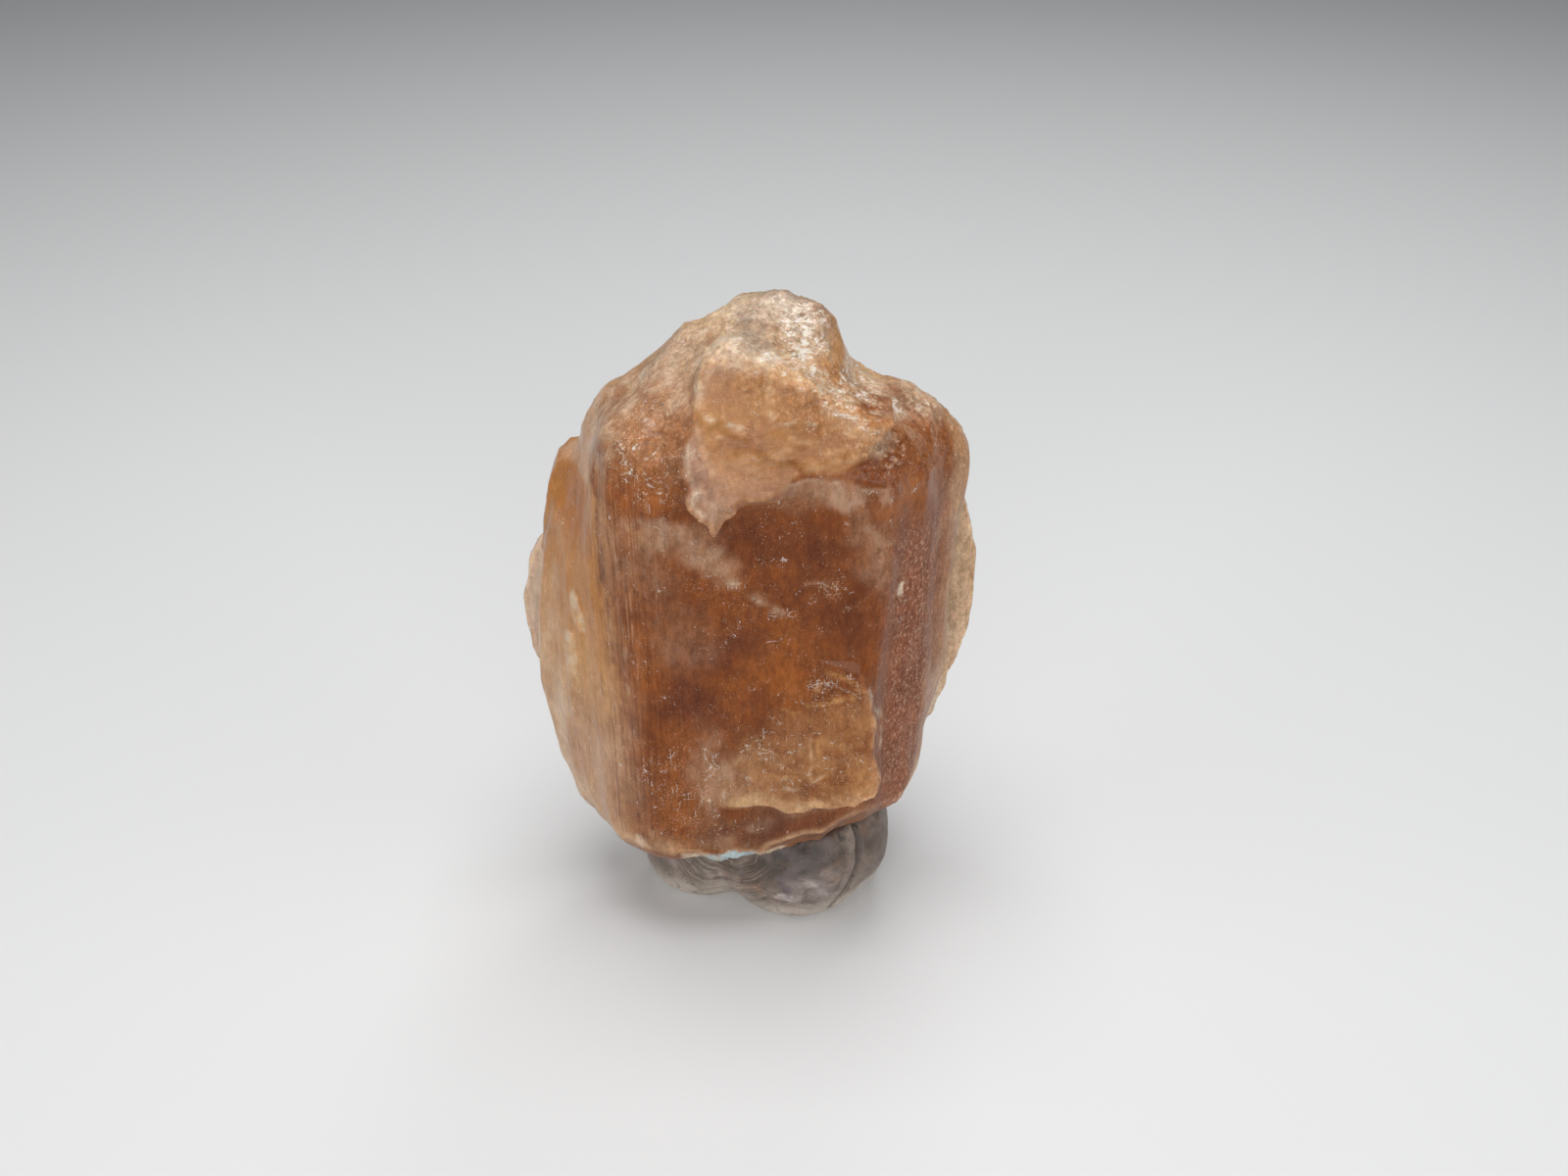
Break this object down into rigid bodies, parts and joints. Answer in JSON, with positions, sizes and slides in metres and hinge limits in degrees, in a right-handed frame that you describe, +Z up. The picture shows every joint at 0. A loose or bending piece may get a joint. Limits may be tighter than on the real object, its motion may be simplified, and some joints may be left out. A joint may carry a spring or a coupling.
{
  "type": "childrenite crystal in mounting putty",
  "caption": "Stout brown mineral crystal with a broad front face, striated sides and a broken peak, held upright by a lump of grey mounting putty.",
  "frame": {"origin": "on the putty's flat underside, near its middle, at the height of the surface the part stands on", "axes": "+Z up along the crystal's length, the broad front face looks along -Y, +X to the right as seen from the front"},
  "size_m": [0.0182, 0.0104, 0.027],
  "materials": {
    "crystal": "glassy, translucent orange-brown, paler at thin edges and broken faces",
    "putty": "kneaded grey-brown putty, matte with a slight sheen"
  },
  "bodies": {
    "root": {"crystal": "crystal", "putty": "putty"}
  },
  "joints": []
}
